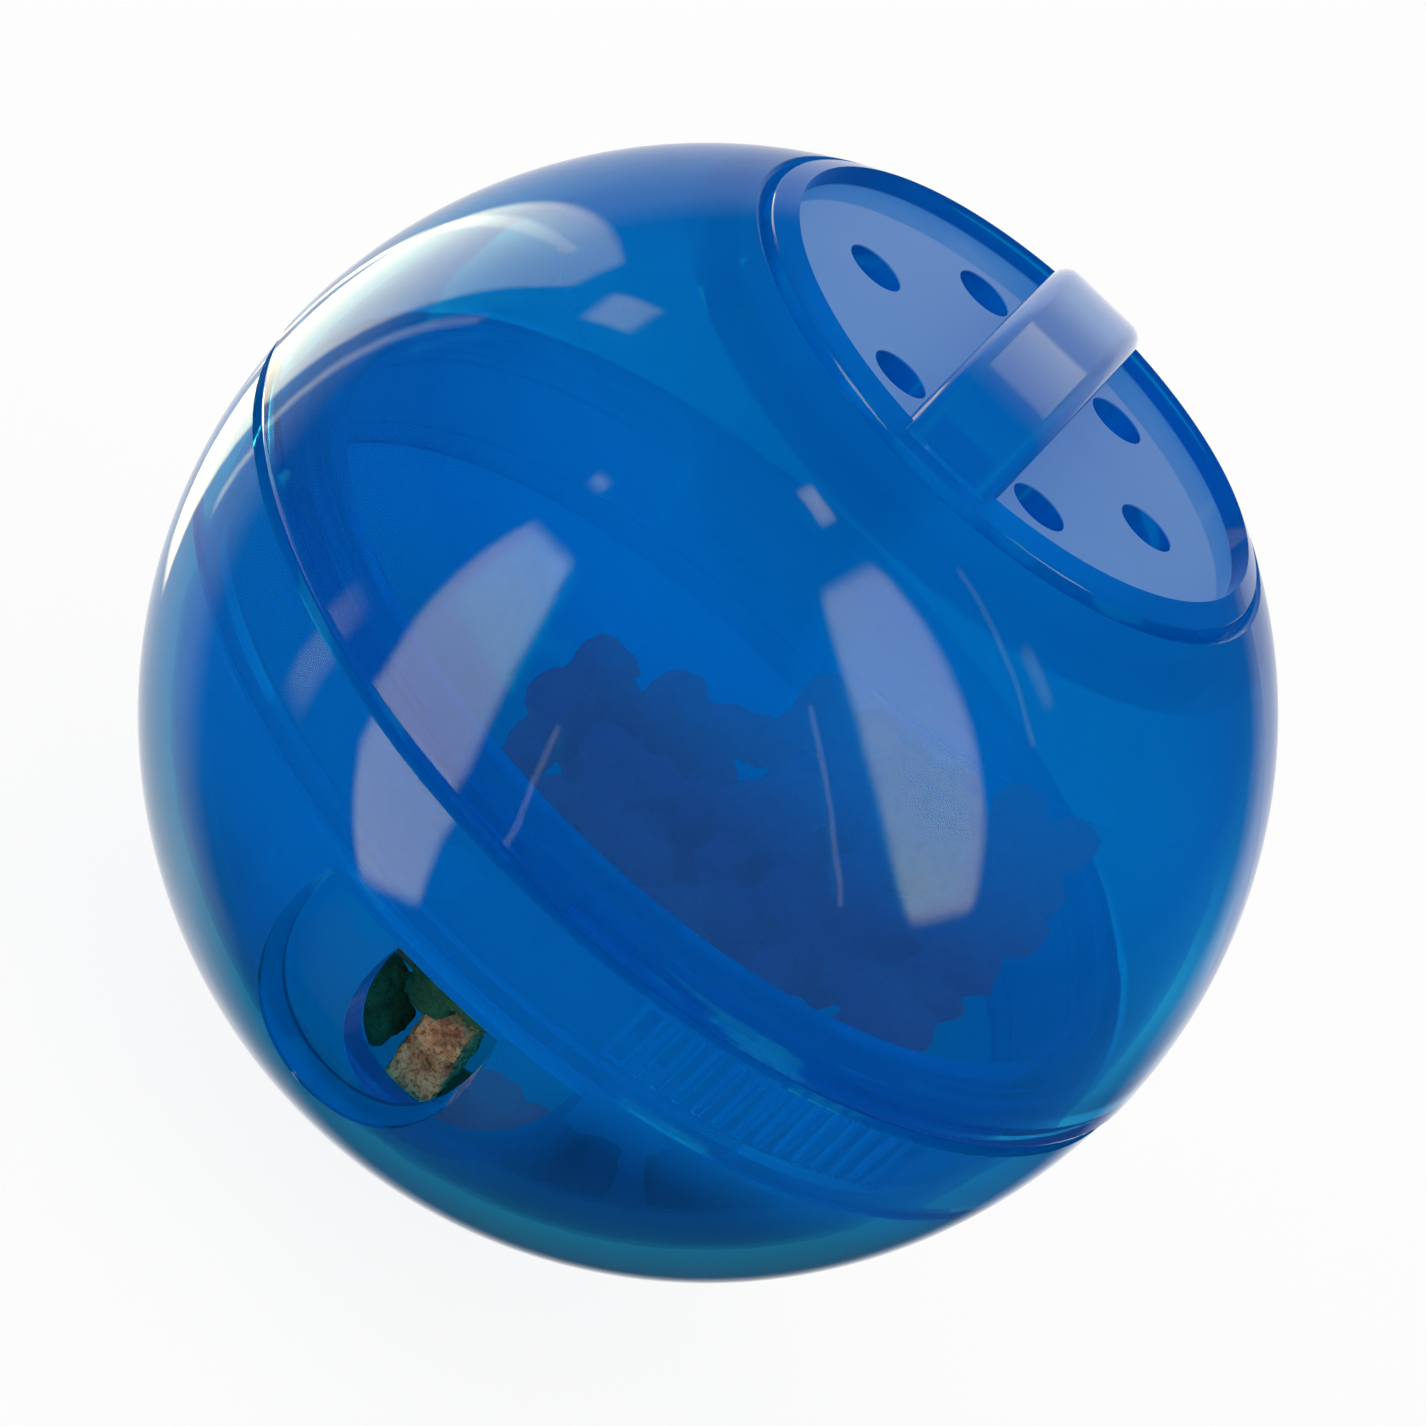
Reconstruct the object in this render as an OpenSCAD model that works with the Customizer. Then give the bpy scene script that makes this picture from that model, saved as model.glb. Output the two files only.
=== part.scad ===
// A transparent ball that drops dry treats through a window as it rolls.
// The Z axis is the axis that the two halves turn about, with the lid on top.
// The origin is the centre of the ball, and the seam lies in the plane z = 0.
// Directions round the axis are turns from -Y, positive from -Y towards +X.

/* [Outer shells] */
// Outside diameter of the lower half
ball_d = 76; // [72:1:84]
// Wall of both outer shells
shell_t = 2.2; // [1.8:0.1:2.6]
// How far the upper half stands proud of the lower half
seam_step = 0.2; // [0.1:0.1:0.6]
// Space between the two halves at the seam
seam_gap = 0.2; // [0.15:0.05:0.4]
// Rounding of the upper half's lower edge
seam_round = 1.5; // [0.8:0.1:1.6]

/* [Inner cup] */
// Wall of the cup's bowl and band
cup_t = 2; // [1.6:0.1:2.2]
// Space between the cup's bowl and the lower half
cup_gap = 0.3; // [0.25:0.05:0.6]
// Space between the cup's straight band and the lower half at the seam
band_gap = 1.6; // [1.4:0.1:1.8]
// Height of the band above the seam
band_rise = 2.9; // [2.8:0.1:6]

/* [Windows] */
// Width of the outer window at its widest
window_w = 16.3; // [12:0.1:17]
// Height of the outer window
window_h = 17.5; // [15:0.5:19]
// Depth of the outer window's flat top edge below the seam
window_drop = 9.5; // [9.5:0.5:12]
// Depth of the window's widest level below the seam
window_wide_drop = 14.8; // [12:0.1:16]
// Direction of the outer window round the axis, in degrees
window_turn = -4.5; // [-10:0.5:5]
// How far the cup's window is turned past the outer one, in degrees
window_offset = 10.8; // [0:0.2:15]
// How much lower the top edge of the cup's window lies
cup_window_drop = 0.5; // [0.3:0.1:1]

/* [Cup seat] */
// Clearance between the cup and the ring that it hangs in
seat_gap = 0.1; // [0.05:0.05:0.2]
// Height of the ring inside the upper half that carries the cup
ring_h = 1.4; // [1.2:0.1:1.6]
// Width of the cup's shoulder below the ring
shoulder_w = 1; // [0.8:0.1:1.1]
// Height of the cup's shoulder
shoulder_h = 1; // [0.8:0.1:1.2]
// Height that the snap bead stands out of the band above the ring
snap_out = 0.6; // [0.4:0.1:0.8]
// Height of the snap bead
snap_h = 0.9; // [0.7:0.1:1]
// Number of keys that stop the cup turning in the upper half
key_count = 4; // [3:1:6]
// Width of a key
key_w = 4; // [3:0.5:6]
// Height that a key stands out of the band
key_out = 0.8; // [0.6:0.1:1]

/* [Turning joint] */
// Depth of the retaining groove round the cup's band
groove_d = 0.5; // [0.4:0.1:0.7]
// Height of the retaining groove
groove_h = 2; // [1.6:0.1:2.2]
// Depth of the middle of the groove below the seam
groove_drop = 7.9; // [7.7:0.1:8]
// Space round the lower half's bead in the groove
bead_gap = 0.25; // [0.2:0.05:0.3]

/* [Click ribs] */
// Length of the click ribs along the axis
rib_h = 4.8; // [4:0.1:5]
// Depth of the top of the ribs below the seam
rib_drop = 1.3; // [1.3:0.1:1.5]
// Width of a click rib
rib_w = 0.6; // [0.4:0.1:0.8]
// Space between the band and the tips of the ribs
rib_gap = 0.7; // [0.7:0.05:0.9]
// Angle from one rib to the next, in degrees
rib_pitch = 2.7; // [2.5:0.1:4]
// Direction of the click bump round the axis, in degrees
bump_turn = 31; // [28:1:34]
// Width of the click bump
bump_w = 1; // [0.8:0.1:1.2]
// Height that the click bump stands out of the band
bump_out = 0.45; // [0.3:0.05:0.5]
// Width of the end stops
stop_w = 1.4; // [1.2:0.1:2]
// Space between the band and the tips of the end stops
stop_gap = 0.2; // [0.2:0.05:0.3]
// Turn from the photographed setting to the fully open one, in degrees
turn_open = 10.8; // [5:0.2:12]
// Turn from the photographed setting to the closed one, in degrees
turn_shut = 19; // [15:0.5:22]
// Spare turn between the bump and each end stop, in degrees
stop_spare = 0.6; // [0.4:0.1:1]

/* [Filling mouth] */
// Diameter of the lid's seat in the upper half
mouth_d = 42.2; // [38:0.2:46]
// Depth of the ledge that the lid rests on, below the edge of the mouth
ledge_drop = 2.85; // [2.6:0.05:3.1]
// Thickness of the ledge
ledge_t = 1.8; // [1.4:0.1:2.2]
// Width of the ledge
ledge_w = 3.3; // [2.5:0.1:4]
// Rounding of the outer edges of the mouth and of the lid
edge_round = 0.35; // [0.2:0.05:0.5]

/* [Lid] */
// Gap round the lid's flange
lid_gap = 0.45; // [0.3:0.05:0.6]
// Space under the lid's flange
lid_seat_gap = 0.15; // [0.1:0.05:0.3]
// Width of the lid's rim round the recessed face
lid_rim_w = 1.5; // [1.2:0.1:2.5]
// Depth of the recessed face below the rim's crest
lid_recess = 1.6; // [1:0.1:1.9]
// Slope of the recess wall, as the step from its foot to its crest
recess_slope = 0.15; // [0.1:0.05:0.3]
// Clearance between the lid's neck and the mouth's bore
neck_gap = 0.3; // [0.2:0.05:0.4]
// Wall of the lid's neck
neck_t = 1.6; // [1.2:0.1:2]
// Depth of the neck below the flange
neck_h = 4; // [3.6:0.1:5]
// Height that the grip beads stand out of the neck
grip_bead_out = 0.22; // [0.1:0.02:0.24]
// Height of a grip bead
grip_bead_h = 0.7; // [0.5:0.1:0.9]
// Number of slots that split the neck into springy fingers
finger_slots = 4; // [3:1:6]
// Width of those slots
finger_slot_w = 2; // [1.5:0.1:3]

/* [Lid holes] */
// Diameter of the holes in the lid's face
hole_d = 4.2; // [3:0.1:4.4]
// Diameter of the circle that the holes lie on
hole_pcd = 24.4; // [24:0.2:27]
// Number of holes
hole_count = 6; // [6]

/* [Lid bar] */
// Width of the bar across the lid
bar_w = 7.5; // [6:0.1:7.6]
// How far the bar's top stands above the upper half's surface
bar_proud = 0.25; // [0.1:0.05:1]
// Rounding of the bar's top edges
bar_round = 1.3; // [0.8:0.1:1.6]
// Wall of the bar
bar_t = 1.5; // [1.2:0.1:2]

/* [Treats] */
// Diameter of the rounded lobes of a treat
treat_lobe_d = 3.9; // [3.6:0.1:4.1]
// Width of the arms behind the lobes
treat_arm_w = 3.1; // [2.6:0.1:3.4]
// Overall width of a treat
treat_w = 10; // [9.6:0.1:11]
// Thickness of a treat
treat_t = 3.8; // [3.2:0.1:4.4]
// How far the reaches of neighbouring treats run into each other
treat_nest = 0.1; // [0:0.05:0.2]
// Depth of the heap's surface below the centre of the ball
heap_drop = 9.5; // [9.5:0.5:14]
// Slope of the heap's surface, in degrees
heap_slope = 41; // [36:1:44]
// Direction that the heap runs down to, in degrees round the axis
heap_turn = 119; // [110:1:125]
// Shift of the heap's packing along X
heap_shift_x = -7.2; // [-7.4:0.1:-7]
// Shift of the heap's packing along Y
heap_shift_y = -6.4; // [-6.6:0.1:-6.2]
// Shift of the heap's packing along Z
heap_shift_z = -5.5; // [-5.7:0.1:-5.3]
// Directions of the treats that lie flat on the bowl, in degrees round the axis
flat_treat_turns = [34, 56, 78, 40]; // [30:1:80]
// Dips of those treats below the seam, in degrees
flat_treat_dips = [46, 34, 42, 69]; // [30:1:70]
// Directions of the two treats beside the window, in degrees round the axis
window_treat_turns = [-13.1, -0.5]; // [-14:0.1:0]
// Dips of those treats below the seam, in degrees
window_treat_dips = [45.3, 28]; // [27:0.1:46]
// Turns of those treats in their own planes, in degrees
window_treat_spins = [61, 88]; // [55:1:90]
// How far in from the bowl those treats lie
window_treat_ins = [0.9, 2.6]; // [0.9:0.1:2.8]
// How much nearer to the bowl the treat that shows in the window lies
front_treat_out = 0.1; // [0:0.1:0.2]
// Direction of that treat, in degrees round the axis
front_treat_turn = 7.2; // [6:0.2:8]
// Dip of that treat below the seam, in degrees
front_treat_dip = 49; // [48:0.2:50]
// Lean of that treat's upright arm towards -X, in degrees
front_treat_lean = 7.5; // [5:0.5:10]
// Tip of that treat's upright arm back from the window, in degrees
front_treat_tip = 32; // [29:1:35]

/* [Hidden] */
$fn = 96;
// Extra length by which cuts run past the solids they cut
over = 1;
// Number of sides that a treat's lobes are drawn with
lobe_sides = 24;
// Turn about X, Y and Z from each treat of the heap to the next, in degrees
treat_spin = [47, 83, 29];

ball_r = ball_d / 2;
lower_in_r = ball_r - shell_t;
upper_r = ball_r + seam_step;
upper_in_r = upper_r - shell_t;

cup_r = lower_in_r - cup_gap;
cup_in_r = cup_r - cup_t;
band_r = lower_in_r - band_gap;
band_in_r = band_r - cup_t;

ring_r = band_r + 2 * seat_gap;
ring_z = seam_gap + ring_h;
shoulder_r = band_r + shoulder_w;
shoulder_z = seam_gap - seat_gap - shoulder_h;
snap_z = ring_z + seat_gap;
snap_r = band_r + snap_out;
key_z = ring_z - seat_gap;

// A window's outline is part of an oval: the dip of its centre, and half its angles across and up
window_dip = asin(window_wide_drop / ball_r);
window_half_w = asin(window_w / 2 / ball_r);
window_half_h = asin((window_drop + window_h) / ball_r) - window_dip;

groove_r = band_r - groove_d;
bead_tip_r = groove_r + bead_gap;
bead_h = groove_h - 2 * bead_gap;

mouth_r = mouth_d / 2;
ledge_z = sqrt(pow(upper_r, 2) - pow(mouth_r, 2)) - ledge_drop;
bore_r = mouth_r - ledge_w;
lid_r = mouth_r - lid_gap;
crest_r = lid_r - lid_rim_w;
crest_z = sqrt(pow(upper_r, 2) - pow(crest_r, 2));
face_z = crest_z - lid_recess;
face_r = crest_r - recess_slope;
flange_z = ledge_z + lid_seat_gap;
neck_r = bore_r - neck_gap;
neck_in_r = neck_r - neck_t;
neck_z = flange_z - neck_h;
// The grip beads sit just under the ledge
grip_bead_z = ledge_z - ledge_t - lid_seat_gap - grip_bead_h;

// How far the circles that round the outer edges run past the ball's surface
round_lap = 0.03;
// Distance of those circles' centres from the ball's centre, and their heights
seam_round_c = upper_r - seam_round + round_lap;
edge_round_c = upper_r - edge_round + round_lap;
seam_round_z = seam_gap + seam_round;
seam_round_r = sqrt(pow(seam_round_c, 2) - pow(seam_round_z, 2));
mouth_round_r = mouth_r + edge_round;
mouth_round_z = sqrt(pow(edge_round_c, 2) - pow(mouth_round_r, 2));
lid_round_r = lid_r - edge_round;
lid_round_z = sqrt(pow(edge_round_c, 2) - pow(lid_round_r, 2));

bar_top_r = upper_r + bar_proud;
bar_core_r = bar_top_r - bar_t;
bar_core_w = bar_w - 2 * bar_t;

bump_turn_w = bump_w / band_r * 180 / PI;
stop_turn_w = stop_w / band_r * 180 / PI;
stop_lead = (bump_turn_w + stop_turn_w) / 2 + stop_spare;
stop_first = bump_turn - turn_open - stop_lead;
stop_last = bump_turn + turn_shut + stop_lead;
rib_turns = [
    for (a = stop_first + rib_pitch; a < stop_last - rib_pitch / 2; a = a + rib_pitch) a
];

// Half of a treat's longest diagonal, which keeps its neighbours and the bowl clear of it
treat_reach = norm([treat_w, treat_t]) / 2;
treat_pitch = 2 * treat_reach - treat_nest;
heap_r = cup_in_r - treat_reach;
heap_dir = [
    sin(heap_slope) * sin(heap_turn),
    -sin(heap_slope) * cos(heap_turn),
    -cos(heap_slope)
];
front_treat_place = (heap_r + front_treat_out) * [
    cos(front_treat_dip) * sin(front_treat_turn),
    -cos(front_treat_dip) * cos(front_treat_turn),
    -sin(front_treat_dip)
];
// Distance from the ball's centre of the treats that lie flat on the bowl
flat_treat_r = sqrt(pow(cup_in_r, 2) - pow(treat_w / 2, 2)) - treat_t / 2 - seat_gap;
flat_treats = [0:len(flat_treat_turns) - 1];
// Those treats and the two beside the window: directions, dips, turns in their planes, distances
side_turns = concat(flat_treat_turns, window_treat_turns);
side_dips = concat(flat_treat_dips, window_treat_dips);
side_spins = concat([for (n = flat_treats) treat_spin[n % len(treat_spin)]], window_treat_spins);
side_rs = concat(
    [for (n = flat_treats) flat_treat_r],
    [for (in = window_treat_ins) flat_treat_r - in]
);
side_treats = [0:len(side_turns) - 1];
// Places that the packing leaves free for the treats laid by hand
kept_places = concat([front_treat_place], [
    for (n = side_treats) side_rs[n] * [
        cos(side_dips[n]) * sin(side_turns[n]),
        -cos(side_dips[n]) * cos(side_turns[n]),
        -sin(side_dips[n])
    ]
]);
heap_steps = ceil(heap_r / treat_pitch * sqrt(2)) + 1;
heap_shift = [heap_shift_x, heap_shift_y, heap_shift_z];
// Places of the treats: a close packing inside the bowl, below the heap's surface
treat_places = [
    for (i = [-heap_steps:heap_steps], j = [-heap_steps:heap_steps], k = [-heap_steps:heap_steps])
        let (p = [i, j, k] * treat_pitch / sqrt(2) + heap_shift)
        if ((i + j + k) % 2 == 0 && norm(p) < heap_r && p * heap_dir > heap_drop
            && min([for (q = kept_places) norm(p - q)]) > treat_pitch) p
];

// Half of a disc, as the profile that a ball is turned from
module half_disc(r) {
    intersection() {
        circle(r = r);
        translate([0, -r]) square([r, 2 * r]);
    }
}

// A rectangle in a turning profile, from radius r0 to r1 and height z0 to z1
module slab(r0, r1, z0, z1) {
    translate([r0, z0]) square([r1 - r0, z1 - z0]);
}

// A block that stands on a round wall, from radius r0 to r1, centred on a direction
module wall_block(turn, w, r0, r1, z0, h) {
    rotate([0, 0, turn]) translate([-w / 2, -r1, z0]) cube([w, r1 - r0, h]);
}

// Cutter for a window: an oval cone from the ball's centre, flat above
module window_cut(turn, drop) {
    reach = ball_r + over;
    intersection() {
        rotate([90 + window_dip, 0, turn])
            scale([tan(window_half_w), tan(window_half_h), 1])
                rotate([0, 0, 90]) cylinder(r1 = 0, r2 = reach, h = reach);
        translate([-reach, -reach, -reach]) cube([2 * reach, 2 * reach, reach - drop]);
    }
}

module lower_shell() {
    color("RoyalBlue", 0.8) {
        difference() {
            rotate_extrude() {
                difference() {
                    intersection() {
                        half_disc(ball_r);
                        slab(0, ball_r, -ball_r, 0);
                    }
                    half_disc(lower_in_r);
                }
                intersection() {
                    half_disc(ball_r - shell_t / 2);
                    slab(bead_tip_r, ball_r, -groove_drop - bead_h / 2, -groove_drop + bead_h / 2);
                }
            }
            window_cut(window_turn, window_drop);
        }
        click_ribs();
    }
}

// The row of click ribs and its two end stops, inside the lower half
module click_ribs() {
    root_r = lower_in_r + shell_t / 4;
    for (a = rib_turns) wall_block(a, rib_w, band_r + rib_gap, root_r, -rib_drop - rib_h, rib_h);
    for (a = [stop_first, stop_last])
        wall_block(a, stop_w, band_r + stop_gap, root_r, -rib_drop - rib_h, rib_h);
}

module inner_cup() {
    color("MediumBlue", 0.8) {
        difference() {
            rotate_extrude() cup_profile();
            window_cut(window_turn + window_offset, window_drop + cup_window_drop);
        }
        for (i = [0:key_count - 1])
            wall_block(i * 360 / key_count, key_w, band_r - cup_t / 2, band_r + key_out,
                shoulder_z + shoulder_h / 2, key_z - shoulder_z - shoulder_h / 2);
        wall_block(bump_turn, bump_w, band_r - cup_t / 2, band_r + bump_out, -rib_drop - rib_h, rib_h);
    }
}

// Turning profile of the cup: a bowl that runs up into a straight band, shoulder, snap bead and groove
module cup_profile() {
    difference() {
        union() {
            intersection() {
                half_disc(cup_r);
                slab(0, band_r, -cup_r, band_rise);
            }
            slab(0, shoulder_r, shoulder_z, shoulder_z + shoulder_h);
            slab(0, snap_r, snap_z, snap_z + snap_h);
        }
        intersection() {
            half_disc(cup_in_r);
            slab(0, band_in_r, -cup_in_r, band_rise + over);
        }
        slab(groove_r, band_r + over, -groove_drop - groove_h / 2, -groove_drop + groove_h / 2);
    }
}

module upper_shell() {
    color("RoyalBlue", 0.8)
        difference() {
            rotate_extrude() upper_profile();
            for (i = [0:key_count - 1])
                wall_block(i * 360 / key_count, key_w + 2 * seat_gap, ring_r - over,
                    band_r + key_out + seat_gap, seam_gap - over, ring_h + 2 * over);
        }
}

// Turning profile of the upper half: dome, cup ring, mouth recess and ledge
module upper_profile() {
    difference() {
        intersection() {
            half_disc(upper_r);
            slab(0, upper_r, seam_gap, upper_r);
        }
        // Inside of the dome, between the cup ring and the ledge
        intersection() {
            half_disc(upper_in_r);
            slab(0, upper_r, ring_z, ledge_z - ledge_t);
        }
        slab(0, ring_r, 0, ring_z + over);
        slab(0, bore_r, 0, upper_r);
        slab(0, mouth_r, ledge_z, upper_r + over);
        round_off(seam_round_r, seam_round_z, seam_round)
            slab(seam_round_r, upper_r + over, 0, seam_round_z * upper_r / seam_round_c);
        round_off(mouth_round_r, mouth_round_z, edge_round)
            slab(0, mouth_round_r * upper_r / edge_round_c, mouth_round_z, upper_r);
    }
}

// What is cut from a corner of a turning profile to round it with a circle at (r, z)
module round_off(r, z, round) {
    difference() {
        children();
        translate([r, z]) circle(r = round);
    }
}

module lid() {
    color("CornflowerBlue", 0.8)
        difference() {
            union() {
                rotate_extrude() lid_profile();
                lid_bar();
            }
            for (i = [0:hole_count - 1])
                rotate([0, 0, (i + 1 / 2) * 360 / hole_count])
                    translate([0, hole_pcd / 2, flange_z - over])
                        cylinder(d = hole_d, h = face_z - flange_z + 2 * over);
            bar_hollow();
            for (i = [0:finger_slots - 1])
                rotate([0, 0, (i + 1 / 2) * 360 / finger_slots])
                    translate([-finger_slot_w / 2, neck_in_r - over, neck_z - over])
                        cube([finger_slot_w, neck_t + 2 * over, neck_h + over - lid_seat_gap]);
        }
}

// Turning profile of the lid: flange, rim, recessed face, neck and grip bead
module lid_profile() {
    difference() {
        intersection() {
            half_disc(upper_r);
            slab(0, lid_r, flange_z, upper_r);
        }
        polygon([
            [0, face_z], [face_r, face_z], [crest_r, crest_z],
            [crest_r, upper_r + over], [0, upper_r + over]
        ]);
        round_off(lid_round_r, lid_round_z, edge_round)
            slab(lid_round_r * upper_r / edge_round_c, lid_r + over, lid_round_z, upper_r);
    }
    slab(neck_in_r, neck_r, neck_z, flange_z);
    slab(neck_in_r, neck_r + grip_bead_out, grip_bead_z, grip_bead_z + grip_bead_h);
}

// The bar that the lid is pulled out by: an arch round the ball's centre
module lid_bar() {
    intersection() {
        rotate([0, 90, 0])
            rotate_extrude()
                translate([0, -bar_w / 2]) bar_section();
        translate([0, 0, flange_z]) cylinder(r = crest_r + lid_rim_w / 2, h = bar_top_r);
    }
}

// Section through the bar, with its outer corners rounded
module bar_section() {
    square([bar_top_r - bar_round, bar_w]);
    translate([0, bar_round]) square([bar_top_r, bar_w - 2 * bar_round]);
    for (y = [bar_round, bar_w - bar_round])
        translate([bar_top_r - bar_round, y]) circle(r = bar_round);
}

// The space inside the bar, open towards the inside of the ball
module bar_hollow() {
    intersection() {
        rotate([0, 90, 0])
            translate([0, 0, -bar_core_w / 2]) cylinder(r = bar_core_r, h = bar_core_w);
        translate([-bar_core_w / 2, -neck_in_r, flange_z - over])
            cube([bar_core_w, 2 * neck_in_r, bar_top_r]);
    }
}

// One treat: a cross with four rounded lobes
module treat() {
    reach = (treat_w - treat_lobe_d) / 2;
    translate([0, 0, -treat_t / 2])
        linear_extrude(height = treat_t)
            for (a = [0, 90]) rotate(a) {
                square([2 * reach, treat_arm_w], center = true);
                for (s = [-1, 1]) translate([s * reach, 0]) circle(d = treat_lobe_d, $fn = lobe_sides);
            }
}

module treats() {
    color("Peru") {
        for (n = [0:len(treat_places) - 1])
            translate(treat_places[n]) rotate(n * treat_spin) treat();
        translate(front_treat_place)
            rotate([-front_treat_tip, -front_treat_lean, 0])
                rotate([0, 90, 0]) treat();
        for (n = side_treats)
            rotate([90 + side_dips[n], 0, side_turns[n]])
                translate([0, 0, side_rs[n]])
                    rotate(side_spins[n]) treat();
    }
}

lower_shell();
inner_cup();
upper_shell();
lid();
treats();
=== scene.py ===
import math

import bmesh
import bpy
from mathutils import Matrix, Vector, noise


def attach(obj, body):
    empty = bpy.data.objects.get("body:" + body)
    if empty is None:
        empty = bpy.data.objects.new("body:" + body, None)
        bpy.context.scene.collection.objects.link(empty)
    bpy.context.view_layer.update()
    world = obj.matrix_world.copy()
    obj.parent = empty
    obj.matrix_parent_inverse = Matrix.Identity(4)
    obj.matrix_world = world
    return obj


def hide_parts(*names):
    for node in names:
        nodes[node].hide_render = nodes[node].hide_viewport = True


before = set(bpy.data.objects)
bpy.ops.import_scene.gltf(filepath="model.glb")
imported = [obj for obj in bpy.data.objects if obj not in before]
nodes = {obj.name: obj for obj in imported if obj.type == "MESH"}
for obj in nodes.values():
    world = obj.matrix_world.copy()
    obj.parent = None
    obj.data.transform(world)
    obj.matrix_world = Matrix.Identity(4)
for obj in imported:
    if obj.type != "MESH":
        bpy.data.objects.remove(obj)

MM = 0.001
FLOOR_Z = -38.05 * MM
# Middle of the ball's shadow painted on the floor for rays that pass through the ball, where it
# starts and ends, and how deep it is
SHADE_CENTRE = (25 * MM, 42 * MM, 0)
SHADE_FADE = (160 * MM, 50 * MM)
SHADE_DEPTH = 0.7
# Where the treat that shows in the window lies
FRONT_TREAT = Vector((2.3, -18.4, -21.3)) * MM

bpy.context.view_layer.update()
scene = bpy.context.scene
scene.view_settings.view_transform = "Standard"

# Camera, fitted to the ball's outline, its seam and the rim of its lid
cam_data = bpy.data.cameras.new("camera")
cam = bpy.data.objects.new("camera", cam_data)
scene.collection.objects.link(cam)
scene.camera = cam
CAM_DISTANCE = 456 * MM
CAM_LENS, CAM_SENSOR = 171.8, 36
CAM_SHIFT = (0.00456, 0.0011)
CAM_CLIP = (0.01, 50)
cam_back = Vector((0, -0.909, 0.416)).normalized()
cam_right = Vector((0.7206, 0.2886, 0.630))
cam_right = (cam_right - cam_right.dot(cam_back) * cam_back).normalized()
cam_up = cam_back.cross(cam_right)
cam.matrix_world = Matrix.Translation(cam_back * CAM_DISTANCE) @ Matrix(
    (cam_right, cam_up, cam_back)
).transposed().to_4x4()
cam_data.lens = CAM_LENS
cam_data.sensor_width = CAM_SENSOR
cam_data.shift_x, cam_data.shift_y = CAM_SHIFT
cam_data.clip_start, cam_data.clip_end = CAM_CLIP


class Tree:
    """A node tree that is written one line to a node."""

    def __init__(self, owner):
        owner.use_nodes = True
        self.tree = owner.node_tree
        self.tree.nodes.clear()

    def add(self, kind, settings=None, **inputs):
        node = self.tree.nodes.new("ShaderNode" + kind)
        for key, value in (settings or {}).items():
            setattr(node, key, value)
        for key, value in inputs.items():
            self.put(node, key.replace("_", " "), value)
        return node

    def put(self, node, key, value):
        socket = node.inputs[int(key)] if key.isdigit() else node.inputs[key]
        if isinstance(value, bpy.types.Node):
            value = value.outputs[0]
        if isinstance(value, bpy.types.NodeSocket):
            self.tree.links.new(value, socket)
        else:
            socket.default_value = value

    def math(self, operation, a, b=None):
        node = self.add("Math", {"operation": operation})
        self.put(node, "0", a)
        if b is not None:
            self.put(node, "1", b)
        return node

    def measure(self, operation, vector, other=None):
        """A number taken from one vector, or from two."""
        node = self.add("VectorMath", {"operation": operation}, Vector=vector)
        if other is not None:
            node.inputs[1].default_value = other
        return node.outputs["Value"]

    def mix(self, factor, a, b, blend="MIX"):
        """Mix of two colours."""
        node = self.add("Mix", {"data_type": "RGBA", "blend_type": blend})
        self.put(node, "0", factor)
        self.put(node, "6", a)
        self.put(node, "7", b)
        return node.outputs[2]

    def mix_shader(self, factor, a, b):
        node = self.add("MixShader")
        self.put(node, "0", factor)
        self.put(node, "1", a)
        self.put(node, "2", b)
        return node

    def ramp(self, value, stops):
        node = self.add("ValToRGB")
        self.put(node, "Fac", value)
        elements = node.color_ramp.elements
        while len(elements) < len(stops):
            elements.new(0.5)
        for element, (place, colour) in zip(elements, stops):
            element.position = place
            element.color = colour if len(colour) == 4 else (*colour, 1)
        return node.outputs[0]

    def step(self, value, start, end, kind="LINEAR"):
        """0 where value is start or before it, rising to 1 at end. end may lie below start."""
        node = self.add("MapRange", {"interpolation_type": kind})
        for key, number in (("From Min", start), ("From Max", end)):
            node.inputs[key].default_value = number
        self.put(node, "Value", value)
        return node

    def region(self, place, soft, **ranges):
        """1 inside the given ranges, in mm, rising from 0 over soft inside each limit.

        A range is a pair of limits, with None for no limit, and maybe a fade of its own. It is for x,
        y, z, axis (the distance from the Z axis) or centre (the distance from the origin).
        """
        xyz = self.add("SeparateXYZ", Vector=place)
        flat = self.add("CombineXYZ", X=xyz.outputs["X"], Y=xyz.outputs["Y"])
        values = {
            "x": xyz.outputs["X"],
            "y": xyz.outputs["Y"],
            "z": xyz.outputs["Z"],
            "axis": self.measure("LENGTH", flat),
            "centre": self.measure("LENGTH", place),
        }
        mask = None
        for key, (low, high, *own) in ranges.items():
            fade = own[0] if own else soft
            for edge, side in ((low, 1), (high, -1)):
                if edge is None:
                    continue
                part = self.step(values[key], edge * MM, (edge + side * fade) * MM)
                mask = part if mask is None else self.math("MULTIPLY", mask, part)
        return mask

    def noise(self, vector, scale, detail=3.0, roughness=0.5):
        node = self.add("TexNoise")
        self.put(node, "Vector", vector)
        node.inputs["Scale"].default_value = scale
        node.inputs["Detail"].default_value = detail
        node.inputs["Roughness"].default_value = roughness
        return node.outputs[0]

    def bump(self, height, strength, distance, normal=None):
        node = self.add("Bump")
        self.put(node, "Height", height)
        node.inputs["Strength"].default_value = strength
        node.inputs["Distance"].default_value = distance
        if normal is not None:
            self.put(node, "Normal", normal)
        return node.outputs[0]


def seen_ray(t):
    """1 for camera, glossy and transmission rays, which see the white background."""
    path = t.add("LightPath")
    both = t.math("MAXIMUM", path.outputs["Is Camera Ray"], path.outputs["Is Glossy Ray"])
    return t.math("MAXIMUM", both, path.outputs["Is Transmission Ray"])


# Surroundings: an even white room and a white floor
WORLD_LIGHT = 0.8
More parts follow.
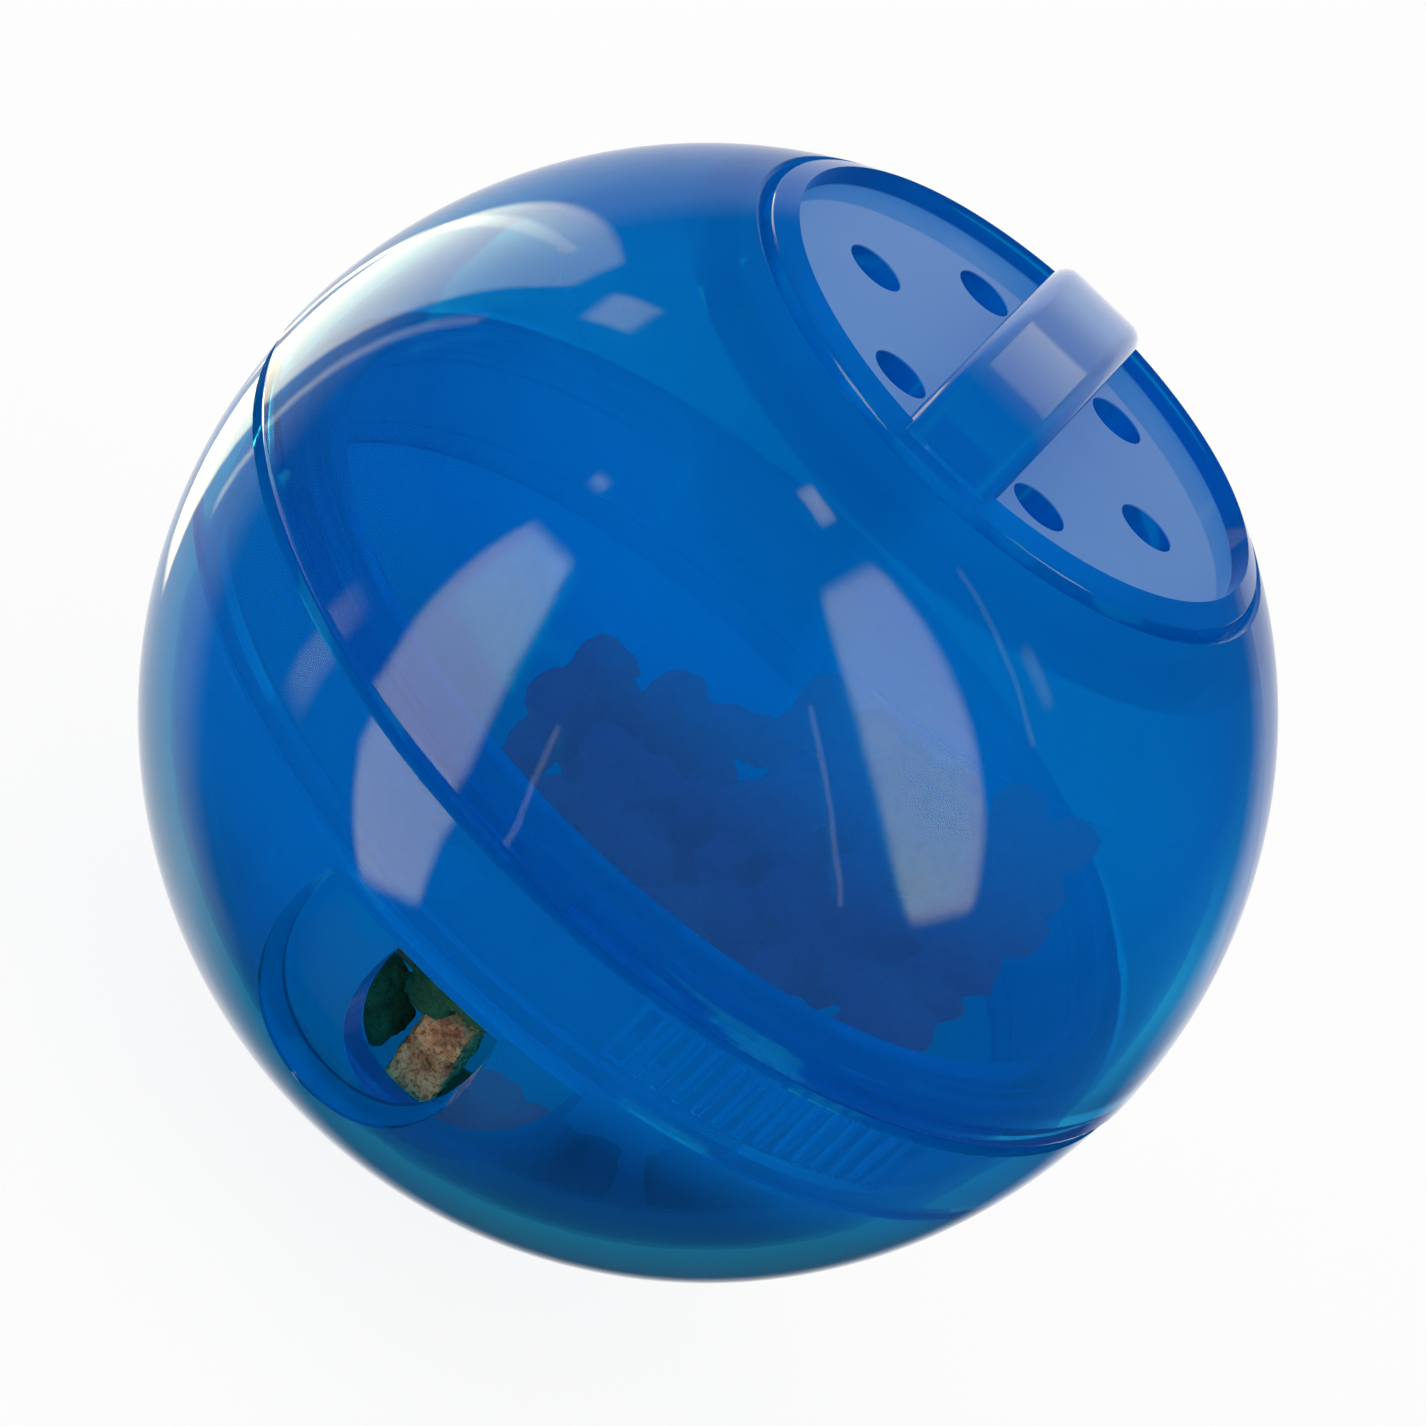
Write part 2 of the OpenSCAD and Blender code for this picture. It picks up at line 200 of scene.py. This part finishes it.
# Gloss sees white only behind the ball, and the dark side of the studio in front of it and below.
# Each line is an axis, and the heights along it where the white ends and the dark is full.
DARK_SIDES = (
    (cam_right * 0.17 - cam_up * 0.23 + cam_back, -0.74, -0.62),
    (cam_up, -0.18, -0.36),
)
DARKNESS = 0.95
FLOOR_SIZE = 6.0
FLOOR_PLAIN, FLOOR_LIT, FLOOR_GLOW = (0.8, 0.8, 0.8, 1), (0.9, 0.9, 0.9, 1), 0.9
WHITE = (1, 1, 1, 1)

world = bpy.data.worlds.new("studio")
scene.world = world
t = Tree(world)
light = t.add("Background", Color=WHITE, Strength=WORLD_LIGHT)
direction = t.add("TexCoord").outputs["Generated"]
dark = None
for axis, start, end in DARK_SIDES:
    part = t.step(t.measure("DOT_PRODUCT", direction, axis.normalized()), start, end)
    dark = part if dark is None else t.math("MAXIMUM", dark, part)
dark = t.math("MULTIPLY", dark, t.add("LightPath").outputs["Is Glossy Ray"])
bright = t.math("SUBTRACT", 1.0, t.math("MULTIPLY", dark, DARKNESS))
white = t.add("Background", Color=WHITE, Strength=bright)
t.add("OutputWorld", Surface=t.mix_shader(seen_ray(t), light, white))

floor_mesh = bpy.data.meshes.new("floor")
floor_mesh.from_pydata(
    [(x * FLOOR_SIZE, y * FLOOR_SIZE, FLOOR_Z) for x, y in ((-1, -1), (1, -1), (1, 1), (-1, 1))],
    [],
    [(0, 1, 2, 3)],
)
floor = bpy.data.objects.new("floor", floor_mesh)
scene.collection.objects.link(floor)
floor.visible_glossy = False
mat = bpy.data.materials.new("floor")
t = Tree(mat)
plain = t.add("BsdfDiffuse", Color=FLOOR_PLAIN)
lit = t.add("BsdfDiffuse", Color=FLOOR_LIT)
# what shows through the ball is the floor with the ball's shadow painted on it
away = t.measure("DISTANCE", t.add("TexCoord").outputs["Object"], SHADE_CENTRE)
under = t.step(away, *SHADE_FADE, "SMOOTHSTEP")
under = t.math("MULTIPLY", under, t.add("LightPath").outputs["Is Transmission Ray"])
shaded = t.math("SUBTRACT", 1.0, t.math("MULTIPLY", under, SHADE_DEPTH))
glow = t.add("Emission", Color=WHITE, Strength=shaded)
bright = t.mix_shader(FLOOR_GLOW, lit, glow)
t.add("OutputMaterial", Surface=t.mix_shader(seen_ray(t), plain, bright))
floor_mesh.materials.append(mat)


def from_camera(azimuth, elevation):
    """Direction from the ball, by angles round the camera's upright axis from the camera."""
    a, e = math.radians(azimuth), math.radians(elevation)
    return (
        cam_right * math.sin(a) * math.cos(e)
        + cam_up * math.sin(e)
        + cam_back * math.cos(a) * math.cos(e)
    )


LAMP_DISTANCE = 0.9
# What the highlights show, and what lights the matte parts, are separate lamps in the same places
HIGHLIGHT, MATTE = 14.0, 6.5
HIGHLIGHT_COLOUR = (1.0, 0.9, 0.5, 1)


def softbox(name, low, high, width, radiance, shift=0.0, ends=1.0, soft=0.0):
    """A strip light that faces the ball. low and high are the directions of its ends' middles.

    shift moves it sideways, ends is its width at its ends as a share of the width in its middle,
    and soft is how far its light fades out inside its edges. One with soft edges has the
    highlights' colour, and one without them is white.
    """
    a, b = from_camera(*low), from_camera(*high)
    centre = (a + b).normalized()
    # ends of the strip on the plane square to its centre's direction
    pa, pb = a / a.dot(centre) * LAMP_DISTANCE, b / b.dot(centre) * LAMP_DISTANCE
    length = (pb - pa).length
    data = bpy.data.lights.new(name, "AREA")
    data.shape = "RECTANGLE"
    data.size = width
    data.size_y = length
    data.energy = radiance * math.pi * width * length
    lamp = bpy.data.objects.new(name, data)
    scene.collection.objects.link(lamp)
    up = (pb - pa).normalized()
    up = (up - up.dot(centre) * centre).normalized()
    right = up.cross(centre)
    lamp.matrix_world = Matrix.Translation((pa + pb) / 2 + right * shift) @ Matrix(
        (right, up, centre)
    ).transposed().to_4x4()
    lamp.visible_camera = False
    if soft:
        t = Tree(data)
        place = t.add("SeparateXYZ", Vector=t.add("NewGeometry").outputs["Parametric"])
        across = t.math("ABSOLUTE", t.math("SUBTRACT", place.outputs["X"], 0.5))
        along = t.math("ABSOLUTE", t.math("SUBTRACT", place.outputs["Y"], 0.5))
        # half of the width narrows with the square of the distance from the middle
        lost = t.math("MULTIPLY", t.math("POWER", along, 2.0), 2 * (1 - ends))
        half = t.math("SUBTRACT", 0.5, lost)
        sides = t.step(t.math("SUBTRACT", half, across), 0, soft / width, "SMOOTHSTEP")
        tips = t.step(t.math("SUBTRACT", 0.5, along), 0, 2 * soft / length, "SMOOTHSTEP")
        strength = t.math("MULTIPLY", sides, tips)
        glow = t.add("Emission", Color=HIGHLIGHT_COLOUR, Strength=strength)
        t.add("OutputLight", Surface=glow)
    return lamp


# The two tall strips: each has a lamp for its highlight, and a narrower one for the matte parts
MATTE_WIDTH, TALL_SOFT = 0.3, 0.05
for name, low, high, width, share, matte, shift, ends in (
    ("left", (-77, -28), (-35, 35), 0.43, 1.15, 1.9, 0.055, 0.6),
    ("right", (59, -36), (31, 28), 0.39, 1.15, 0.85, -0.05, 0.65),
):
    strip = softbox(name + "_strip", low, high, width, HIGHLIGHT * share, shift, ends, TALL_SOFT)
    strip.visible_diffuse = False
    box = softbox(name + "_box", low, high, MATTE_WIDTH, MATTE * matte, shift)
    box.visible_glossy = False

# The smaller reflections: the large one at the back also lights the matte parts
for name, low, high, width, radiance, shift, ends, soft in (
    ("back", (-154, 6), (-124, 74), 0.38, 5.5, 0.0, 0.4, 0.03),
    ("back_outer", (-166, 10), (-140, 66), 0.045, 3.2, 0.0, 1.0, 0.015),
    ("back_inner", (-136, 15), (-108, 60), 0.06, 3.5, 0.0, 1.0, 0.03),
    ("left_line", (-70, -16), (-50, 14), 0.035, 5.0, 0.48, 1.0, 0.01),
    ("right_line", (56, -30), (40, 10), 0.03, 5.0, -0.39, 1.0, 0.01),
    ("right_edge", (52, -12), (38, 20), 0.03, 3.0, 0.26, 1.0, 0.01),
    ("right_patch", (70, 0), (64, 12), 0.07, 4.0, 0.0, 1.0, 0.03),
    ("bar", (98, 46), (128, 38), 0.10, 4.0, 0.0, 1.0, 0.02),
    ("top", (-96, 74), (-44, 79), 0.14, 9.0, 0.0, 1.0, 0.03),
    ("small_left", (-29, 42), (-24, 46), 0.08, 14.0, 0.0, 1.0, 0.03),
    ("small_right", (23, 44), (28, 35), 0.07, 16.0, 0.0, 1.0, 0.02),
    ("side", (-90, 0), (-72, 20), 0.16, 4.5, 0.0, 1.0, 0.06),
):
    lamp = softbox(name, low, high, width, radiance, shift, ends, soft)
    lamp.visible_diffuse = name == "back"


IOR, GLOSS = 1.2, 0.5
# How much of red, green and blue is left where a wall is seen edge on, and how slanted that is
EDGE_ON = (1, 0.52, 0.72)
EDGE_SLANT = (0.25, 0.8)
# The colour varies a little, as it does in a moulding, and so does the polish
MOTTLE, MOTTLE_SCALE = 0.05, 45
POLISH_SCALE, POLISH_RANGE = 300, 1.6
WAVE_SCALE, WAVE_STRENGTH, WAVE_HEIGHT = 160, 0.03, 0.0006


def plastic(name, tint, milk, haze, through, roughness, spots):
    """Tinted see-through moulded plastic.

    tint is what one wall lets through, milk the colour of its haze, haze how much of a surface is
    cloudy, and through how much of that is lit from behind. Each spot gives a region its own milk
    and haze: the fade, the ranges, the milk and the haze.
    """
    mat = bpy.data.materials.new(name)
    t = Tree(mat)
    place = t.add("TexCoord").outputs["Object"]
    colour = t.mix(
        t.noise(place, MOTTLE_SCALE, 3),
        tuple(c * (1 - MOTTLE) for c in tint) + (1,),
        tuple(min(c * (1 + MOTTLE), 1) for c in tint) + (1,),
    )
    # the tint deepens where the wall is seen edge on
    slant = t.step(t.add("LayerWeight", Blend=0.5).outputs["Facing"], *EDGE_SLANT)
    colour = t.mix(slant, colour, tuple(c * e for c, e in zip(tint, EDGE_ON)) + (1,))
    bump = t.bump(t.noise(place, WAVE_SCALE, 2), WAVE_STRENGTH, WAVE_HEIGHT)
    rough = t.step(t.noise(place, POLISH_SCALE, 4, 0.7), 0.35, 0.75)
    t.put(rough, "To Min", roughness)
    t.put(rough, "To Max", roughness * POLISH_RANGE)
    body = t.add("BsdfPrincipled", Base_Color=colour, Roughness=rough, Normal=bump, IOR=IOR,
                 Specular_IOR_Level=GLOSS, Transmission_Weight=1)
    milky, share = tuple(milk) + (1,), haze
    for soft, ranges, spot_milk, spot_haze in spots:
        mask = t.region(place, soft, **ranges)
        milky = t.mix(mask, milky, tuple(spot_milk) + (1,))
        change = t.math("MULTIPLY", mask, t.math("SUBTRACT", spot_haze, share))
        share = t.math("ADD", share, change)
    # the haze lies under the same gloss
    front = t.add("BsdfPrincipled", Base_Color=milky, Roughness=rough, Normal=bump, IOR=IOR)
    back = t.add("BsdfTranslucent", Color=milky, Normal=bump)
    body = t.mix_shader(share, body, t.mix_shader(through, front, back))
    film = t.add("BsdfTransparent", Color=tuple(math.sqrt(c) for c in tint) + (1,))
    path = t.add("LightPath")
    passing = t.math("MAXIMUM", path.outputs["Is Shadow Ray"], path.outputs["Is Diffuse Ray"])
    t.add("OutputMaterial", Surface=t.mix_shader(passing, body, film))
    return mat


SHELL_TINT = (0.02, 0.58, 0.83)
EVEN_BLUE = (0.0, 0.135, 0.45)
POLISHED, SATIN = 0.02, 0.05
upper = plastic("upper_shell_look", SHELL_TINT, (0.0, 0.16, 0.54), 0.18, 0.3, POLISHED, (
    # towards the lid
    (14, {"z": (12, None)}, EVEN_BLUE, 0.6),
))
lower = plastic("lower_shell_look", SHELL_TINT, (0.0, 0.31, 0.80), 0.17, 0.35, POLISHED, (
    # the clearer bottom, and more of it towards +X
    (8, {"z": (None, -14)}, (0.0, 0.24, 0.66), 0.08),
    (5, {"x": (8, None), "z": (None, -8)}, (0.0, 0.2, 0.6), 0.05),
    # cut edges, such as the window's
    (0.1, {"centre": (36.0, 37.8)}, EVEN_BLUE, 0.6),
    # the click ribs, cloudier so that they show as pale lines: a painted highlight
    (0.05, {"centre": (34.6, 35.75), "z": (-6.2, -1.2)}, (0.02, 0.3, 0.7), 0.3),
))
cup = plastic("cup_plastic_look", SHELL_TINT, (0.0, 0.36, 0.88), 0.25, 0.5, POLISHED, (
    # the clearer bottom, and more of it towards +X
    (8, {"z": (None, -14)}, (0.0, 0.27, 0.72), 0.12),
    (5, {"x": (8, None), "z": (None, -8)}, (0.0, 0.24, 0.66), 0.08),
    # beside and below the window
    (2, {"x": (-14, 1), "y": (None, -24), "z": (-26, -8)}, (0.0, 0.22, 0.58), 0.6),
    # cut edges, such as the window's
    (0.1, {"centre": (33.6, 35.4)}, (0.02, 0.11, 0.38), 0.5),
))
lid = plastic("lid_plastic_look", (0.004, 0.60, 0.85), (0.0, 0.11, 0.42), 0.6, 0.0, SATIN, (
    # the fine matte face
    (0.1, {"z": (31.3, 31.6), "axis": (None, 19.1)}, (0.10, 0.255, 0.61), 0.88),
    # the top of the bar, paler lilac, fading in towards its far end: a painted sheen
    (0.3, {"centre": (37.6, None), "axis": (None, 18.6), "y": (-14, None, 12)},
     (0.23, 0.36, 0.68), 0.6),
))


# Each CAD node gets its finish on the object, and its mesh stays as it is
for name, mat in (("lower_shell", lower), ("upper_shell", upper), ("inner_cup", cup), ("lid", lid)):
    for slot in nodes[name].material_slots:
        slot.link = "OBJECT"
        slot.material = mat


CRUMB_SCALE, FLECK_SCALE = 1000, 3500
# How near to the front treat its neighbours take on the dark green painted beside the window, a
# painted shade
WINDOW_SHADE_FADE = (14 * MM, 11 * MM)
PIT_SHADE_COLOUR = (0.25, 0.22, 0.2)
# A red glow, painted light, on the heap for rays that come through the plastic
THROUGH_PAINTED_GLOW = 0.6


def treat_look(name, dark, middle, pale, window=None, through=None):
    """Rough baked crumb, with paler grains and darker pits. Its colour is darker where its bump dips
    and paler where it rises, partly its own tone and partly painted shade and light.

    window is a dark green painted in beside the window, a painted shade in blue light, and through is
    a violet and a red glow painted on for rays that come through the plastic, a painted light.
    """
    mat = bpy.data.materials.new(name)
    t = Tree(mat)
    place = t.add("TexCoord").outputs["Object"]
    crumb = t.noise(place, CRUMB_SCALE, 5, 0.7)
    fleck = t.noise(place, FLECK_SCALE, 3, 0.6)
    # darker where the crumb bump dips and paler where it rises: partly tone, partly painted shade and
    # light
    colour = t.ramp(crumb, [(0.32, dark), (0.48, middle), (0.68, pale)])
    # beside the window: a painted dark green, the shade in blue light there
    if window:
        near = t.step(t.measure("DISTANCE", place, FRONT_TREAT), *WINDOW_SHADE_FADE)
        beside = t.ramp(crumb, [(0.3, tuple(c * 0.5 for c in window)), (0.7, window)])
        colour = t.mix(near, colour, beside)
    # rays through the plastic see a painted violet and a painted red glow
    through_ray = t.add("LightPath").outputs["Is Transmission Ray"]
    if through:
        colour = t.mix(through_ray, colour, through)
    # the pits of the fine bump are darkened: painted shade
    pit_shade = t.ramp(fleck, [(0.36, PIT_SHADE_COLOUR), (0.48, WHITE)])
    colour = t.mix(0.8, colour, pit_shade, "MULTIPLY")
    bump = t.bump(fleck, 0.5, 0.0002, t.bump(crumb, 0.6, 0.0004))
    body = t.add("BsdfPrincipled", Base_Color=colour, Normal=bump, Roughness=0.8,
                 Specular_IOR_Level=0.3)
    if through:
        t.put(body, "Emission Color", (1, 0, 0, 1))
        t.put(body, "Emission Strength", t.math("MULTIPLY", through_ray, THROUGH_PAINTED_GLOW))
    t.add("OutputMaterial", Surface=body)
    return mat


def islands(bm):
    """The loose parts of a mesh, as lists of vertices."""
    found, left = [], set(bm.verts)
    for first in bm.verts:
        if first not in left:
            continue
        left.discard(first)
        part, edge = [first], [first]
        while edge:
            for e in edge.pop().link_edges:
                for v in e.verts:
                    if v in left:
                        left.discard(v)
                        part.append(v)
                        edge.append(v)
        found.append(part)
    return found


# Pairs of treats nearer than this have a crumb between them, if it lies this far inside the cup
PAIR_REACH, CRUMB_REACH = 13.5 * MM, 30 * MM
# A crumb this near to the front treat is moved inwards, so that it doesn't show in the window
WINDOW_ROOM, MOVED_IN = 9 * MM, 0.8
# Lumps and crumbs of the surface: size and height, and how far the surface is lowered for them
LUMP, LUMP_HEIGHT = 1.7 * MM, 0.28
GRAIN, GRAIN_HEIGHT = 0.55 * MM, 0.16
LOWERED = 0.12


def baked_treats(name, front, voxel, smoothing, mat):
    """The front treat, or all the others, as rounded crumbly pieces in the CAD treats' places."""
    bm = bmesh.new()
    bm.from_mesh(nodes["treats"].data)
    bmesh.ops.remove_doubles(bm, verts=bm.verts, dist=0.001 * MM)
    parts = islands(bm)
    middles = [sum((v.co for v in p), Vector()) / len(p) for p in parts]
    off = [(middle - FRONT_TREAT).length for middle in middles]
    nearest = off.index(min(off))
    gone = [v for n, p in enumerate(parts) for v in p if (n == nearest) != front]
    bmesh.ops.delete(bm, geom=gone, context="VERTS")
    if not front:
        # crumbs and broken bits lie between the treats
        for n, a in enumerate(middles):
            for b in middles[:n]:
                middle = (a + b) / 2
                if (middle - FRONT_TREAT).length < WINDOW_ROOM:
                    middle = middle * MOVED_IN
                if (a - b).length < PAIR_REACH and middle.length < CRUMB_REACH:
                    bmesh.ops.create_icosphere(bm, subdivisions=2, radius=(a - b).length / 5,
                                               matrix=Matrix.Translation(middle))
    rough = bpy.data.meshes.new(name)
    bm.to_mesh(rough)
    bm.free()
    piece = bpy.data.objects.new(name, rough)
    scene.collection.objects.link(piece)
    remesh = piece.modifiers.new("grain", "REMESH")
    remesh.mode = "VOXEL"
    remesh.voxel_size = voxel
    soften = piece.modifiers.new("soften", "SMOOTH")
    soften.factor = 0.5
    soften.iterations = smoothing
    graph = bpy.context.evaluated_depsgraph_get()
    mesh = bpy.data.meshes.new_from_object(piece.evaluated_get(graph))
    piece.modifiers.clear()
    piece.data = mesh
    normals = [v.normal.copy() for v in mesh.vertices]
    for v, normal in zip(mesh.vertices, normals):
        lump = noise.fractal(v.co / LUMP, 0.9, 2.0, 2)
        grain = noise.fractal(v.co / GRAIN, 0.7, 2.0, 3)
        v.co += normal * (LUMP_HEIGHT * lump + GRAIN_HEIGHT * grain - LOWERED) * MM
    for face in mesh.polygons:
        face.use_smooth = True
    mesh.materials.clear()
    mesh.materials.append(mat)
    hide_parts("treats")
    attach(piece, "upper_half")


# The same kibble twice: the treat in the window keeps the lighter colours, and the heap gets a far
# darker copy, painted shade
front_look = treat_look(
    "front_treat_look", (0.32, 0.08, 0.035), (0.8, 0.23, 0.1), (0.98, 0.45, 0.22))
heap_shaded_look = treat_look(
    "heap_treat_shaded_look", (0.06, 0.02, 0.012), (0.2, 0.07, 0.035), (0.4, 0.16, 0.08),
    window=(0.004, 0.07, 0.035), through=(0.06, 0.01, 0.12, 1))
baked_treats("front_treat", True, 0.14 * MM, 30, front_look)
baked_treats("treat_heap", False, 0.36 * MM, 8, heap_shaded_look)
